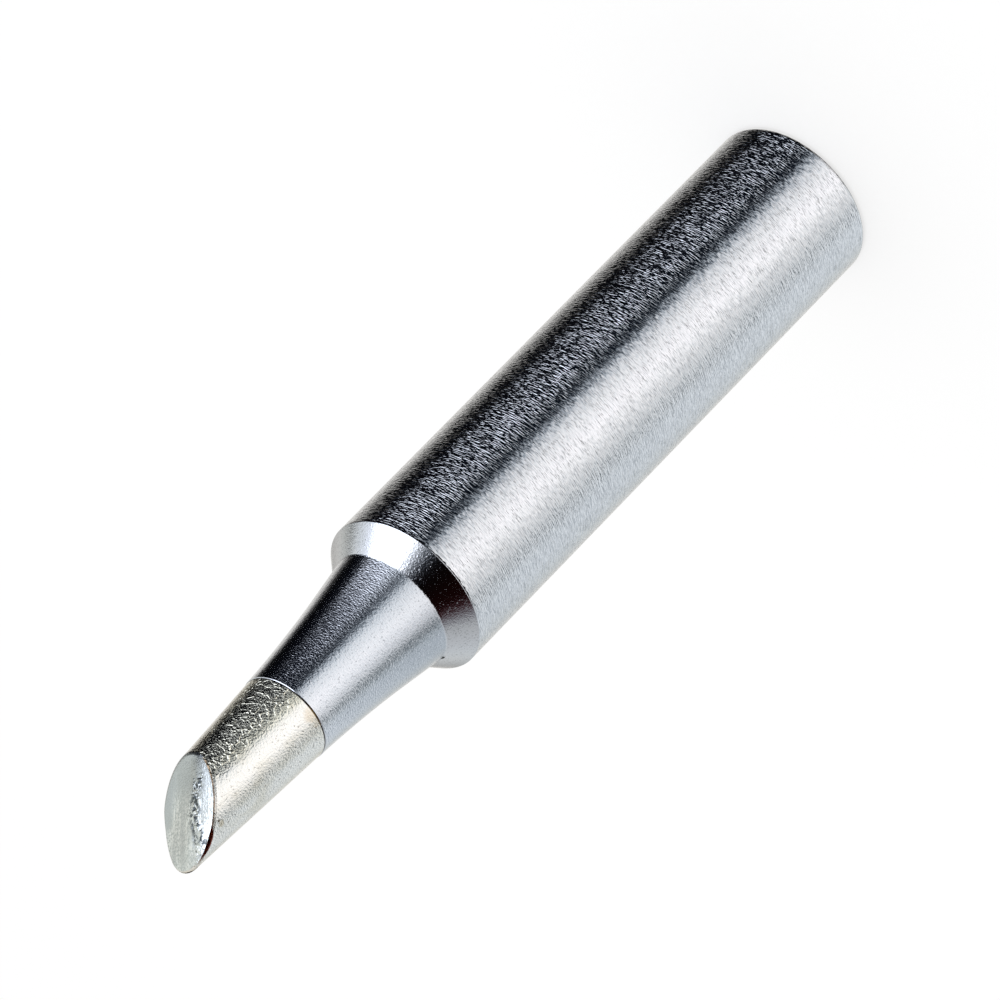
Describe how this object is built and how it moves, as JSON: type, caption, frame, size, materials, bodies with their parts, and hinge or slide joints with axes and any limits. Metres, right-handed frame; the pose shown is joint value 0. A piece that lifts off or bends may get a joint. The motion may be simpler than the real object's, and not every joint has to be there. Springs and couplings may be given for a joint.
{
  "type": "soldering iron tip",
  "caption": "Turned bevel tip for a soldering iron: hollow barrel that slides over a heater, chamfered shoulder, tapered nose and a 45 degree slanted, tinned working face.",
  "frame": {"origin": "centre of the rear ring face, on which the tip stands", "axes": "+Z along the axis to the working end; the slanted face looks towards -Y and up; +X is across the slanted face"},
  "size_m": [0.0065, 0.0064, 0.0381],
  "materials": {
    "plated_copper": "satin chrome plating on fine turning marks, tinned with solder at the working end"
  },
  "bodies": {
    "root": {"soldering_tip": "plated_copper"}
  },
  "joints": []
}
